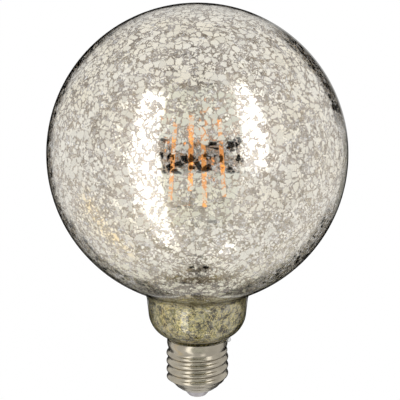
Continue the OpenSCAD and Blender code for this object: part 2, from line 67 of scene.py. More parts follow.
class Tree:
    """Adds nodes to one node tree and links them."""

    def __init__(self, tree: bpy.types.NodeTree) -> None:
        """Takes the tree that the nodes go into."""
        self.tree = tree

    def add(self, kind: str, inputs: dict[str | int, Input] | None = None, **settings: object) -> bpy.types.Node:
        """Adds one node.

        Args:
            kind: The node's type.
            inputs: Values or output sockets for its inputs, by name or number.
            **settings: Properties of the node, which are set before its inputs.

        Returns:
            The new node.
        """
        node = self.tree.nodes.new(kind)
        for name, value in settings.items():
            setattr(node, name, value)
        for key, value in (inputs or {}).items():
            if isinstance(value, bpy.types.NodeSocket):
                self.tree.links.new(value, node.inputs[key])
            else:
                node.inputs[key].default_value = value
        return node

    def math(self, operation: str, a: Input, b: Input = 0.0, clamp: bool = False) -> bpy.types.NodeSocket:
        """Adds a Math node.

        Args:
            operation: The node's operation.
            a: First operand.
            b: Second operand.
            clamp: True to keep the result between 0 and 1.

        Returns:
            The result's socket.
        """
        return self.add("ShaderNodeMath", {0: a, 1: b}, operation=operation, use_clamp=clamp).outputs[0]

    def remap(self, value: Input, low: Input, high: Input, to_low: Input = 0.0, to_high: Input = 1.0,
              smooth: bool = False) -> bpy.types.NodeSocket:
        """Maps a range of a value to another range and clamps it there.

        Args:
            value: What is mapped.
            low: Value that gives to_low.
            high: Value that gives to_high.
            to_low: Result at low.
            to_high: Result at high.
            smooth: True for a smooth step, False for a straight ramp.

        Returns:
            The result's socket.
        """
        kind = "SMOOTHSTEP" if smooth else "LINEAR"
        node = self.add("ShaderNodeMapRange", {0: value, 1: low, 2: high, 3: to_low, 4: to_high},
                        interpolation_type=kind)
        return node.outputs[0]

    def mix(self, share: Input, a: Input, b: Input, blend: str = "MIX") -> bpy.types.NodeSocket:
        """Mixes two colours.

        Args:
            share: How much of b shows.
            a: First colour.
            b: Second colour.
            blend: The Mix node's blend type.

        Returns:
            The mixed colour's socket.
        """
        node = self.add("ShaderNodeMix", {0: share, 6: a, 7: b}, data_type="RGBA", blend_type=blend)
        return node.outputs[2]

    def mix_value(self, share: Input, a: Input, b: Input) -> bpy.types.NodeSocket:
        """Mixes two values.

        Args:
            share: How much of b shows.
            a: First value.
            b: Second value.

        Returns:
            The mixed value's socket.
        """
        return self.add("ShaderNodeMix", {0: share, 2: a, 3: b}, data_type="FLOAT").outputs[0]

    def noise(self, where: Input, scale: Input, detail: float = 3.0, rough: float = 0.55) -> bpy.types.Node:
        """Adds a noise texture.

        Args:
            where: Place to read it at.
            scale: Waves per metre.
            detail: Number of octaves.
            rough: Share that each octave keeps.

        Returns:
            The texture node.
        """
        return self.add("ShaderNodeTexNoise",
                        {"Vector": where, "Scale": scale, "Detail": detail, "Roughness": rough})


def rgba(colour: Colour) -> tuple[float, float, float, float]:
    """Returns a colour with full alpha."""
    return (*colour, 1.0)


class Group:
    """A shader node group with named sockets, built once and placed in many materials."""

    name = "group"
    inputs: Sequence[tuple[str, str, Input]] = ()
    outputs: Sequence[tuple[str, str]] = ()

    def __init__(self) -> None:
        """Builds the group's tree with its sockets and then its nodes."""
        self.tree = bpy.data.node_groups.new(self.name, "ShaderNodeTree")
        for name, kind, value in self.inputs:
            socket = self.tree.interface.new_socket(name, in_out="INPUT", socket_type=kind)
            socket.default_value = value
        for name, kind in self.outputs:
            self.tree.interface.new_socket(name, in_out="OUTPUT", socket_type=kind)
        tree = Tree(self.tree)
        given = tree.add("NodeGroupInput").outputs
        self.wire(tree, given, tree.add("NodeGroupOutput"))

    def wire(self, tree: Tree, given: bpy.types.NodeOutputs, result: bpy.types.Node) -> None:
        """Adds the group's own nodes.

        Args:
            tree: The group's tree.
            given: Outputs of the group's input node.
            result: The group's output node.
        """
        raise NotImplementedError

    def place(self, tree: Tree, inputs: dict[str | int, Input] | None = None) -> bpy.types.NodeOutputs:
        """Places the group in a material.

        Args:
            tree: The material's tree.
            inputs: Values or sockets for the group's inputs.

        Returns:
            The placed group's outputs.
        """
        node = tree.tree.nodes.new("ShaderNodeGroup")
        node.node_tree = self.tree
        for key, value in (inputs or {}).items():
            if isinstance(value, bpy.types.NodeSocket):
                tree.tree.links.new(value, node.inputs[key])
            else:
                node.inputs[key].default_value = value
        return node.outputs


class FlakeLayer(Group):
    """One size of mirror flakes: warped cells with veins between them, some of them missing."""

    name = "flake_layer"
    inputs = (
        ("Place", "NodeSocketVector", (0.0, 0.0, 0.0)),
        ("Cells per metre", "NodeSocketFloat", 280.0),
        ("Vein", "NodeSocketFloat", 0.07),
        ("Kept", "NodeSocketFloat", 0.7),
    )
    outputs = (
        ("Mask", "NodeSocketFloat"),
        ("Cell", "NodeSocketFloat"),
        ("Chance", "NodeSocketFloat"),
        ("Tilt", "NodeSocketVector"),
    )

    def wire(self, tree: Tree, given: bpy.types.NodeOutputs, result: bpy.types.Node) -> None:
        """Adds the cells, their veins, the choice of the flakes that stay and how each one leans."""
        cells = {"Vector": given["Place"], "Scale": given["Cells per metre"], "Randomness": 0.95}
        edge = tree.add("ShaderNodeTexVoronoi", cells, feature="DISTANCE_TO_EDGE").outputs["Distance"]
        colour = tree.add("ShaderNodeTexVoronoi", cells, feature="F1").outputs["Color"]
        chance = tree.add("ShaderNodeSeparateColor", {0: colour}).outputs[0]
        wide = tree.math("MULTIPLY", given["Vein"], 1.6)
        inside = tree.remap(edge, given["Vein"], wide, smooth=True)
        kept = tree.math("LESS_THAN", chance, given["Kept"])
        lean = tree.add("ShaderNodeVectorMath", {0: colour, 1: (0.5, 0.5, 0.5)}, operation="SUBTRACT").outputs[0]
        tree.tree.links.new(tree.math("MULTIPLY", inside, kept), result.inputs["Mask"])
        tree.tree.links.new(kept, result.inputs["Cell"])
        tree.tree.links.new(chance, result.inputs["Chance"])
        tree.tree.links.new(lean, result.inputs["Tilt"])


class FineWear(Group):
    """Handling marks: a roughness that drifts between two values and a faint height."""

    name = "fine_wear"
    inputs = (
        ("Place", "NodeSocketVector", (0.0, 0.0, 0.0)),
        ("Marks per metre", "NodeSocketFloat", 400.0),
        ("Smooth", "NodeSocketFloat", 0.1),
        ("Dull", "NodeSocketFloat", 0.3),
    )
    outputs = (("Roughness", "NodeSocketFloat"), ("Height", "NodeSocketFloat"))

    def wire(self, tree: Tree, given: bpy.types.NodeOutputs, result: bpy.types.Node) -> None:
        """Adds two noises of different size and maps them to the roughness range."""
        broad = tree.noise(given["Place"], given["Marks per metre"], 4.0).outputs["Fac"]
        small_scale = tree.math("MULTIPLY", given["Marks per metre"], 6.0)
        small = tree.noise(given["Place"], small_scale, 2.0).outputs["Fac"]
        blend = tree.math("ADD", tree.math("MULTIPLY", broad, 0.65), tree.math("MULTIPLY", small, 0.35))
        rough = tree.remap(blend, 0.35, 0.65, given["Smooth"], given["Dull"])
        tree.tree.links.new(rough, result.inputs["Roughness"])
        tree.tree.links.new(blend, result.inputs["Height"])


class Finish:
    """Base of all finishes: makes a material with an empty tree and links its surface."""

    def material(self, name: str) -> bpy.types.Material:
        """Builds the finish's material.

        Args:
            name: The material's name.

        Returns:
            The new material.
        """
        made = bpy.data.materials.new(name)
        made.use_nodes = True
        made.node_tree.nodes.clear()
        tree = Tree(made.node_tree)
        surface = self.surface(tree, tree.add("ShaderNodeTexCoord").outputs["Object"])
        tree.add("ShaderNodeOutputMaterial", {"Surface": surface})
        return made

    def surface(self, tree: Tree, place: bpy.types.NodeSocket) -> bpy.types.NodeSocket:
        """Adds the finish's nodes.

        Args:
            tree: The material's tree.
            place: Object coordinates in metres.

        Returns:
            The shader's socket.
        """
        raise NotImplementedError


@dataclass(frozen=True)
class ClearGlass(Finish):
    """Thin clear glass: it passes what is behind it, and mirrors more towards its rim, where painted shade darkens
    what it passes.
    """

    tint: Colour = (0.985, 0.985, 0.975)
    painted_rim_shade: Colour = (0.06, 0.06, 0.048)
    rim_start: float = 0.80
    rim_full: float = 0.93
    facing_share: float = 0.07
    rim_share: float = 0.9
    roughness: float = 0.015

    def surface(self, tree: Tree, place: bpy.types.NodeSocket) -> bpy.types.NodeSocket:
        """Mixes a see-through shader and a mirror by the angle of sight, and paints shade into what the glass passes
        near its rim.
        """
        facing = tree.add("ShaderNodeLayerWeight", {"Blend": 0.5}).outputs["Facing"]
        steep = tree.math("POWER", facing, 7.0)
        share = tree.remap(steep, 0.0, 1.0, self.facing_share, self.rim_share)
        # Painted shade: towards the rim the see-through part of the glass turns nearly black.
        rim = tree.remap(facing, self.rim_start, self.rim_full, smooth=True)
        tint = tree.mix(rim, rgba(self.tint), rgba(self.painted_rim_shade))
        ripple = tree.noise(place, 60.0, 2.0).outputs["Fac"]
        normal = tree.add("ShaderNodeBump", {"Height": ripple, "Strength": 0.02, "Distance": 0.001})
        gloss = tree.add("ShaderNodeBsdfPrincipled", {
            "Base Color": (1.0, 1.0, 1.0, 1.0), "Metallic": 1.0, "Roughness": self.roughness,
            "Normal": normal.outputs[0]})
        clear = tree.add("ShaderNodeBsdfTransparent", {"Color": tint})
        return tree.add("ShaderNodeMixShader", {0: share, 1: clear.outputs[0], 2: gloss.outputs[0]}).outputs[0]


@dataclass(frozen=True)
class SpeckledCoat(Finish):
    """Antique silver on the inside of the globe: mirror flakes, brown veins and see-through gaps."""

    flakes: FlakeLayer
    silver: Colour = (0.82, 0.785, 0.71)
    warm: Colour = (0.83, 0.76, 0.61)
    stain: Colour = (0.27, 0.205, 0.145)
    pale_stain: Colour = (0.40, 0.325, 0.24)
    moss: Colour = (0.58, 0.54, 0.345)
    # olive: the neck's base, partly the coat's tint and partly painted reflection of the warm coat round it.
    olive: Colour = (0.15, 0.135, 0.045)
    straw: Colour = (0.68, 0.57, 0.24)
    umber: Colour = (0.034, 0.023, 0.008)
    haze_grey: Colour = (0.25, 0.24, 0.215)
    neck_top: float = 56 * MM
    neck_foot: float = 46 * MM
    moss_top: float = 84 * MM
    moss_foot: float = 50 * MM
    fine_height: float = 80 * MM
    coarse_height: float = 140 * MM
    lean: float = 0.05

    def surface(self, tree: Tree, place: bpy.types.NodeSocket) -> bpy.types.NodeSocket:
        """Layers the flakes, tints them and leaves the gaps thin."""
        height = tree.add("ShaderNodeSeparateXYZ", {0: place}).outputs[2]
        low_down = tree.remap(height, self.neck_top, self.neck_foot, smooth=True)
        bent = self.warped(tree, self.warped(tree, place, 300.0, 0.0030), 900.0, 0.0016)
        coarse = tree.remap(height, self.fine_height, self.coarse_height, 0.26, 0.66)
        uneven = tree.remap(tree.noise(place, 260.0, 2.0).outputs["Fac"], 0.36, 0.64, 0.2, 1.9)
        wide = tree.math("MULTIPLY", uneven, 0.065)
        narrow = tree.math("MULTIPLY", uneven, 0.08)
        large = self.flakes.place(tree, {"Place": bent, "Cells per metre": 340.0, "Vein": wide, "Kept": coarse})
        middle = self.flakes.place(tree, {"Place": bent, "Cells per metre": 640.0, "Vein": narrow, "Kept": 0.68})
        small = self.flakes.place(tree, {"Place": bent, "Cells per metre": 1300.0, "Vein": 0.10, "Kept": 0.55})
        beside_large = tree.math("SUBTRACT", 1.0, large["Cell"])
        middle_cell = tree.math("MULTIPLY", middle["Cell"], beside_large)
        middle_mask = tree.math("MULTIPLY", middle["Mask"], beside_large)
        beside_both = tree.math("SUBTRACT", beside_large, middle_cell)
        specks = tree.math("MULTIPLY", small["Mask"], beside_both)
        silvered = tree.math("MAXIMUM", large["Mask"], middle_mask)
        veins = tree.math("MAXIMUM", large["Cell"], middle_cell)

        tone = tree.remap(large["Chance"], 0.0, 0.7, 0.90, 1.08)
        drift = tree.noise(place, 40.0, 3.0).outputs["Fac"]
        metal = tree.mix(tree.remap(drift, 0.45, 0.68, 0.0, 0.7), rgba(self.silver), rgba(self.warm))
        toned = tree.add("ShaderNodeVectorMath", {0: metal, "Scale": tone}, operation="SCALE").outputs[0]
        mossy = tree.remap(height, self.moss_top, self.moss_foot, smooth=True)
        flake = tree.mix(tree.math("MULTIPLY", mossy, 0.8), toned, rgba(self.moss))
        lower = tree.remap(height, self.coarse_height, self.fine_height, smooth=True)
        gap = tree.mix(lower, rgba(self.stain), rgba(self.pale_stain))
        ball = tree.mix(silvered, gap, flake)
        colour = tree.mix(low_down, ball, self.crackle(tree, place, silvered))

        haze = tree.noise(bent, 800.0, 2.0).outputs["Fac"]
        film = tree.remap(haze, 0.42, 0.62, 0.04, 0.45)
        thin = tree.math("MAXIMUM", tree.math("MULTIPLY", veins, 0.55), tree.math("MULTIPLY", specks, 0.7))
        dense = tree.math("MAXIMUM", tree.math("MULTIPLY", silvered, 0.95), thin)
        ball_alpha = tree.math("MAXIMUM", dense, film, clamp=True)
        alpha = tree.math("MAXIMUM", ball_alpha, tree.math("MULTIPLY", low_down, 0.96))

        own = tree.add("ShaderNodeNewGeometry").outputs["Normal"]
        lean = tree.add("ShaderNodeVectorMath", {0: large["Tilt"], "Scale": self.lean}, operation="SCALE").outputs[0]
        leaned = tree.add("ShaderNodeVectorMath", {0: own, 1: lean}, operation="ADD").outputs[0]
        normal = tree.add("ShaderNodeVectorMath", {0: leaned}, operation="NORMALIZE").outputs[0]
        ripple = tree.noise(place, 150.0, 3.0).outputs["Fac"]
        bump = tree.add("ShaderNodeBump", {"Height": ripple, "Strength": 0.08, "Distance": 0.0006,
                                           "Normal": normal})
        large_rough = tree.remap(large["Mask"], 0.0, 1.0, 0.34, 0.04)
        dull = tree.remap(middle["Chance"], 0.0, 0.6, 0.46, 0.12)
        middle_rough = tree.remap(middle_mask, 0.0, 1.0, 0.34, dull)
        rough = tree.mix_value(large["Cell"], middle_rough, large_rough)
        return tree.add("ShaderNodeBsdfPrincipled", {
            "Base Color": colour, "Metallic": 1.0, "Alpha": alpha, "Normal": bump.outputs[0],
            "Roughness": tree.math("MAXIMUM", rough, tree.math("MULTIPLY", low_down, 0.38))}).outputs[0]

    def warped(self, tree: Tree, place: bpy.types.NodeSocket, waves: float,
               reach: float) -> bpy.types.NodeSocket:
        """Bends the coordinates so that the flakes get wavy outlines.

        Args:
            tree: The material's tree.
            place: Coordinates in metres.
            waves: Waves per metre.
            reach: Size of the push in metres.

        Returns:
            The bent coordinates.
        """
        warp = tree.noise(place, waves, 2.0).outputs["Color"]
        centred = tree.add("ShaderNodeVectorMath", {0: warp, 1: (0.5, 0.5, 0.5)}, operation="SUBTRACT").outputs[0]
        push = tree.add("ShaderNodeVectorMath", {0: centred, "Scale": reach}, operation="SCALE").outputs[0]
        return tree.add("ShaderNodeVectorMath", {0: place, 1: push}, operation="ADD").outputs[0]

    def crackle(self, tree: Tree, place: bpy.types.NodeSocket,
                silvered: bpy.types.NodeSocket) -> bpy.types.NodeSocket:
        """Adds the neck's colour: olive with straw-coloured squiggles and umber patches. The olive is partly the
        coat's own tint and partly painted reflection of the warm coat round the neck.

        Args:
            tree: The material's tree.
            place: Object coordinates in metres.
            silvered: Where the flakes are.

        Returns:
            The colour's socket.
        """
        grain = tree.noise(place, 480.0, 3.0, 0.65).outputs["Fac"]
        off_line = tree.math("ABSOLUTE", tree.math("SUBTRACT", grain, 0.5))
        squiggle = tree.remap(off_line, 0.034, 0.012, smooth=True)
        patches = tree.remap(tree.noise(place, 330.0, 3.0).outputs["Fac"], 0.46, 0.60)
        swirls = tree.remap(tree.noise(place, 150.0, 2.0).outputs["Fac"], 0.52, 0.64)
        # Partly painted reflection: the olive base stands in for the warm coat that the neck mirrors, as well as for
        # the coat's own tint.
        base = tree.mix(tree.math("MULTIPLY", silvered, 0.30), rgba(self.olive), rgba(self.warm))
        greyed = tree.mix(tree.math("MULTIPLY", swirls, 0.7), base, rgba(self.haze_grey))
        darker = tree.mix(tree.math("MULTIPLY", patches, 0.95), greyed, rgba(self.umber))
        return tree.mix(tree.math("MULTIPLY", squiggle, 0.8), darker, rgba(self.straw))


class Sheen(Enum):
    """How a solid finish takes light."""

    METAL = 1.0
    PLAIN = 0.0


@dataclass(frozen=True)
class Solid(Finish):
    """An opaque finish with drifting colour, handling marks and a faint grain."""

    wear: FineWear
    colour: Colour
    sheen: Sheen = Sheen.PLAIN
    smooth: float = 0.2
    dull: float = 0.4
    marks: float = 500.0
    grain: float = 0.05
    shade: float = 0.85

    def surface(self, tree: Tree, place: bpy.types.NodeSocket) -> bpy.types.NodeSocket:
        """Feeds the wear group and a two-tone colour to one shader."""
        worn = self.wear.place(tree, {"Place": place, "Marks per metre": self.marks,
                                      "Smooth": self.smooth, "Dull": self.dull})
        darker = rgba(tuple(self.shade * part for part in self.colour))
        tone = tree.remap(worn["Height"], 0.38, 0.62)
        normal = tree.add("ShaderNodeBump", {"Height": worn["Height"], "Strength": self.grain, "Distance": 0.0002})
        return tree.add("ShaderNodeBsdfPrincipled", {
            "Base Color": tree.mix(tone, darker, rgba(self.colour)), "Metallic": self.sheen.value,
            "Roughness": worn["Roughness"], "Normal": normal.outputs[0]}).outputs[0]


@dataclass(frozen=True)
class Phosphor(Finish):
    """Silicone loaded with phosphor: saturated, soft and a little translucent, with a painted glow."""

    wear: FineWear
    colour: Colour = (0.90, 0.30, 0.04)
    glow: Colour = (1.0, 0.45, 0.12)

    def surface(self, tree: Tree, place: bpy.types.NodeSocket) -> bpy.types.NodeSocket:
        """Adds the grain of the powder and a painted glow: the unlit phosphor gives off light of its own tone."""
        worn = self.wear.place(tree, {"Place": place, "Marks per metre": 900.0, "Smooth": 0.35, "Dull": 0.55})
        tone = tree.mix(tree.remap(worn["Height"], 0.4, 0.6), rgba(self.colour), rgba(self.glow))
        # Painted glow: the phosphor emits its own colour although the filament is no lamp here.
        return tree.add("ShaderNodeBsdfPrincipled", {
            "Base Color": tone, "Roughness": worn["Roughness"], "Emission Color": tone,
            "Emission Strength": 1.2}).outputs[0]


@dataclass(frozen=True)
class RolledNickel(Finish):
    """Nickel plate on rolled sheet: bright, with drawing marks that run round the axis."""

    wear: FineWear
    colour: Colour = (0.41, 0.372, 0.298)
    shadow: Colour = (0.31, 0.28, 0.225)

    def surface(self, tree: Tree, place: bpy.types.NodeSocket) -> bpy.types.NodeSocket:
        """Stretches the marks round the axis by reading them mostly by height."""
        flat = tree.add("ShaderNodeVectorMath", {0: place, 1: (0.06, 0.06, 1.0)}, operation="MULTIPLY").outputs[0]
        worn = self.wear.place(tree, {"Place": flat, "Marks per metre": 900.0, "Smooth": 0.16, "Dull": 0.28})
        patches = tree.noise(place, 160.0, 4.0).outputs["Fac"]
        tone = tree.mix(tree.remap(patches, 0.38, 0.66), rgba(self.shadow), rgba(self.colour))
        normal = tree.add("ShaderNodeBump", {"Height": worn["Height"], "Strength": 0.12, "Distance": 0.0001})
        return tree.add("ShaderNodeBsdfPrincipled", {
            "Base Color": tone, "Metallic": 1.0, "Roughness": worn["Roughness"],
            "Normal": normal.outputs[0]}).outputs[0]


@dataclass(frozen=True)
class PressedGlass(Finish):
    """The cap's insulator: milky pressed glass with faint streaks."""

    wear: FineWear
    colour: Colour = (0.31, 0.285, 0.293)
    pale: Colour = (0.40, 0.374, 0.387)

    def surface(self, tree: Tree, place: bpy.types.NodeSocket) -> bpy.types.NodeSocket:
        """Adds streaks of two tones under a gloss."""
        streaks = tree.noise(place, 300.0, 3.0).outputs["Fac"]
        tone = tree.mix(tree.remap(streaks, 0.35, 0.65), rgba(self.colour), rgba(self.pale))
        worn = self.wear.place(tree, {"Place": place, "Marks per metre": 700.0, "Smooth": 0.12, "Dull": 0.25})
        return tree.add("ShaderNodeBsdfPrincipled", {
            "Base Color": tone, "Roughness": worn["Roughness"]}).outputs[0]


def arc(centre: tuple[float, float], radius: float, start: float, end: float, steps: int) -> Profile:
    """Returns points along an arc.

    Args:
        centre: The arc's centre.
        radius: Its radius.
        start: First angle in degrees.
        end: Last angle in degrees.
        steps: Number of steps between them.

    Returns:
        The steps + 1 points, both ends included.
    """
    turns = [math.radians(start + (end - start) * i / steps) for i in range(steps + 1)]
    return [(centre[0] + radius * math.cos(a), centre[1] + radius * math.sin(a)) for a in turns]


def mesh_piece(name: str, points: list[Vector], faces: list[list[int]], indices: list[int] | None = None,
               sharp: float = 40.0) -> bpy.types.Object:
    """Makes a smooth-shaded mesh object.

    Args:
        name: The object's name.
        points: Its vertices.
        faces: Its faces, by vertex number.
        indices: Material index of each face.
        sharp: Edges that turn more than this many degrees stay sharp.

    Returns:
        The new object, in the scene.
    """
    mesh = bpy.data.meshes.new(name)
    mesh.from_pydata(points, [], faces)
    mesh.polygons.foreach_set("use_smooth", [True] * len(faces))
    if indices:
        mesh.polygons.foreach_set("material_index", indices)
    mesh.set_sharp_from_angle(angle=math.radians(sharp))
    mesh.update()
    piece = bpy.data.objects.new(name, mesh)
    bpy.context.scene.collection.objects.link(piece)
    return piece


def ring_faces(rows: int, columns: int, first: int = 0) -> list[list[int]]:
    """Returns the quads between rows of points that run round an axis.

    Args:
        rows: Number of rows.
        columns: Number of points in a row.
        first: Number of the first row's first point.

    Returns:
        Faces that look away from the axis when the rows run down.
    """
    faces = []
    for j in range(rows - 1):
        for i in range(columns):
            k = (i + 1) % columns
            a, b = first + j * columns + i, first + j * columns + k
            faces.append([a, a + columns, b + columns, b])
    return faces


@dataclass
class Globe:
    """The blown envelope: clear glass outside and the speckled coat on its inner surface."""

    radius: float = 62.5
    centre: float = 107.0
    wall: float = 0.9
    throat_fillet: float = 8.0
    taper: float = 6.0
    bowl_radius: float = 11.0
    bowl_offset: float = 9.6
    bowl_height: float = 38.2
    foot_fillet: float = 1.5
    tube_radius: float = 11.2
    tube_end: float = 17.5
    columns: int = 176
    ball_rows: int = 84
    coat_depth: float = 0.18
    throat_height: float = 46.5
    throat_reach: float = 6.0

    def outline(self, inset: float) -> Profile:
        """Returns the half outline from the top pole down to the tube's end.

        Args:
            inset: Distance in from the outer surface.

        Returns:
            Points as radius and height in millimetres, without the pole itself.
        """
        reach = self.bowl_radius + self.throat_fillet + self.bowl_offset * math.cos(math.radians(self.taper))
        drop = (self.centre - self.bowl_height) * math.sin(math.radians(self.taper))
        angle = math.degrees(math.asin((reach + drop) / (self.radius + self.throat_fillet))) - self.taper
        far = self.radius + self.throat_fillet
        throat = (far * math.sin(math.radians(angle)), self.centre - far * math.cos(math.radians(angle)))
        foot_x = self.tube_radius + self.foot_fillet
        foot_z = self.bowl_height - math.sqrt(
            (self.bowl_radius + self.foot_fillet) ** 2 - (foot_x - self.bowl_offset) ** 2)
        turn = math.degrees(math.atan2(foot_z - self.bowl_height, foot_x - self.bowl_offset))
        ball = arc((0.0, self.centre), self.radius - inset, 90.0, angle - 90.0, self.ball_rows)[1:]
        neck = arc(throat, self.throat_fillet + inset, 90.0 + angle, 180.0 - self.taper, 12)[1:]
        bowl = arc((self.bowl_offset, self.bowl_height), self.bowl_radius - inset, -self.taper, turn, 18)
        foot = arc((foot_x, foot_z), self.foot_fillet + inset, turn + 180.0, 180.0, 6)[1:]
        return ball + neck + bowl + foot + [(self.tube_radius - inset, self.tube_end)]

    def coat_outline(self) -> Profile:
        """Returns the half outline of the coat where the glass shows it.

        Refraction lifts the coat of a thin ball to just under its outer face. Round the hollow throat
        it shows at the real depth of the wall.
        """
        points = []
        for (r, z), (inner_r, inner_z) in zip(self.outline(0.0), self.outline(self.wall)):
            share = max(0.0, 1.0 - abs(z - self.throat_height) / self.throat_reach)
            depth = self.coat_depth + (1.0 - self.coat_depth) * share
            points.append((r + (inner_r - r) * depth, z + (inner_z - z) * depth))
        return points

    def build(self) -> bpy.types.Object:
        """Lathes the outer face and the coat into one closed piece.

        Returns:
            The globe, with material 0 outside and 1 inside.
        """
        rows = [self.outline(0.0), self.coat_outline()]
        points, faces, indices = [], [], []
        for side, outline in enumerate(rows):
            pole = len(points)
            top = self.centre + self.radius - side * self.wall * self.coat_depth
            points.append(Vector((0.0, 0.0, top)) * MM)
            for r, z in outline:
                for i in range(self.columns):
                    a = math.tau * i / self.columns
                    points.append(Vector((r * math.cos(a), r * math.sin(a), z)) * MM)
            cap = [[pole, pole + 1 + i, pole + 1 + (i + 1) % self.columns] for i in range(self.columns)]
            made = cap + ring_faces(len(outline), self.columns, pole + 1)
            faces += made if side == 0 else [face[::-1] for face in made]
            indices += [side] * len(made)
        size = 1 + len(rows[0]) * self.columns
        last = size - self.columns
        for i in range(self.columns):
            k = (i + 1) % self.columns
            faces.append([last + i, size + last + i, size + last + k, last + k])
            indices.append(0)
        return mesh_piece("globe", points, faces, indices)

    def dress(self, piece: bpy.types.Object, glass: bpy.types.Material, coat: bpy.types.Material) -> None:
        """Gives the outside clear glass and the inside the coat, and puts the piece in its nodes' place."""
        piece.data.materials.append(glass)
        piece.data.materials.append(coat)
        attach(piece, ROOT)
        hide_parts("glass_globe", "glass_neck", "neck_tube")


@dataclass
class ScrewShell:
    """The threaded sheet shell: stepped shoulder, rolled right-hand thread, skirt and curled rim."""

    cap_height: float = 26.5
    crest_radius: float = 13.1
    depth: float = 1.05
    pitch: float = 3.629
    crest_height: float = 17.69
    skirt_radius: float = 12.8
    sheet: float = 0.3
    mouth_radius: float = 6.0
    mouth_height: float = 3.4
    thread_low: float = 8.8
    fade_low: tuple[float, float] = (6.4, 9.2)
    fade_high: tuple[float, float] = (20.0, 22.4)
    skirt_blend: tuple[float, float] = (20.8, 24.2)
    shoulder_power: float = 1.54
    ridges: int = 3
    ridge_height: float = 0.14
    rim_curl: float = 0.12
    columns: int = 128
    shoulder_rows: int = 30
    wall_rows: int = 92

    @property
    def root_radius(self) -> float:
        """Radius of the thread's root."""
        return self.crest_radius - self.depth

    def fade(self, z: float, span: tuple[float, float]) -> float:
        """Returns a smooth step from 0 to 1 between the two heights of span."""
        t = min(1.0, max(0.0, (z - span[0]) / (span[1] - span[0])))
        return t * t * (3.0 - 2.0 * t)

    def rise(self, u: float, inset: float) -> float:
        """Returns the round thread's height over its root.

        Args:
            u: Distance from a crest along the axis.
            inset: Distance in from the sheet's outer face.

        Returns:
            The height in millimetres.
        """
        radius = (self.pitch ** 2 / 4.0 + self.depth ** 2) / (4.0 * self.depth)
        if u <= (radius - inset) * self.pitch / (4.0 * radius):
            return self.depth - radius + math.sqrt((radius - inset) ** 2 - u * u)
        return radius - math.sqrt((radius + inset) ** 2 - (self.pitch / 2.0 - u) ** 2)

    def lift(self, z: float, turn: float, inset: float) -> float:
        """Returns how far the thread stands over the plain shell.

        Args:
            z: Height in millimetres.
            turn: Share of a turn round the axis.
            inset: Distance in from the sheet's outer face.

        Returns:
            The lift in millimetres.
        """
        w = (z - self.crest_height) / self.pitch - turn
        shown = self.fade(z, self.fade_low) * (1.0 - self.fade(z, self.fade_high))
        return shown * (inset + self.rise(abs(w - round(w)) * self.pitch, inset))

    def rows(self) -> list[tuple[float, float, float, float]]:
        """Returns the plain shell's rows from rim to mouth: outer radius and height, inner radius and height."""
        rows = []
        for i in range(self.wall_rows + 1):
            z = self.cap_height + (self.thread_low - self.cap_height) * i / self.wall_rows
            curl = self.rim_curl * max(0.0, z - self.cap_height + 1.0) ** 2
            r = self.root_radius + (self.skirt_radius - self.root_radius) * self.fade(z, self.skirt_blend) + curl
            rows.append((r, z, r - self.sheet, z))
        across = self.root_radius - self.mouth_radius
        tall = self.thread_low - self.mouth_height
        for i in range(1, self.shoulder_rows + 1):
            s = 1.0 - i / self.shoulder_rows
            dz = tall * self.shoulder_power * s ** (self.shoulder_power - 1.0)
            slope = math.hypot(across, dz)
            ridge = self.ridge_height * (1.0 - math.cos(math.tau * self.ridges * s)) / 2.0
            r = self.mouth_radius + across * s + ridge
            z = self.mouth_height + tall * s ** self.shoulder_power
            rows.append((r, z, r - self.sheet * dz / slope, z + self.sheet * across / slope))
        return rows

    def build(self) -> bpy.types.Object:
        """Sweeps both faces of the sheet round the axis and closes the rim and the mouth."""
        rows = self.rows()
        points, faces = [], []
        for inset, at in ((0.0, 0), (self.sheet, 2)):
            first = len(points)
            for row in rows:
                for i in range(self.columns):
                    turn = i / self.columns
                    r = row[at] + self.lift(row[at + 1], turn, inset)
                    a = math.tau * turn
                    points.append(Vector((r * math.cos(a), r * math.sin(a), row[at + 1])) * MM)
            made = ring_faces(len(rows), self.columns, first)
            faces += made if at == 0 else [face[::-1] for face in made]
        size = len(rows) * self.columns
        last = size - self.columns
        for i in range(self.columns):
            k = (i + 1) % self.columns
            faces.append([i, k, size + k, size + i])
            faces.append([last + i, size + last + i, size + last + k, last + k])
        return mesh_piece("shell", points, faces, sharp=60.0)

    def dress(self, piece: bpy.types.Object, nickel: bpy.types.Material) -> None:
        """Plates the shell and puts it in its node's place."""
        piece.data.materials.append(nickel)
        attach(piece, ROOT)
        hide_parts("screw_shell")


@dataclass
class Fittings:
    """The CAD nodes whose shapes stay: stem, wires, filaments, cement, contact and driver."""

    nodes: dict[str, bpy.types.Object]

    def dress(self, finishes: dict[str, Finish], slots: dict[str, list[str]]) -> None:
        """Gives each node the material of its slot.

        Args:
            finishes: Finish of each material slot.
            slots: Names of the nodes that use each slot.
        """
        for slot, finish in finishes.items():
            material = finish.material(slot)
            for name in slots[slot]:
                mesh = self.nodes[name].data
                mesh.materials.clear()
                mesh.materials.append(material)
                LOG.info("dressed %s as %s", name, slot)


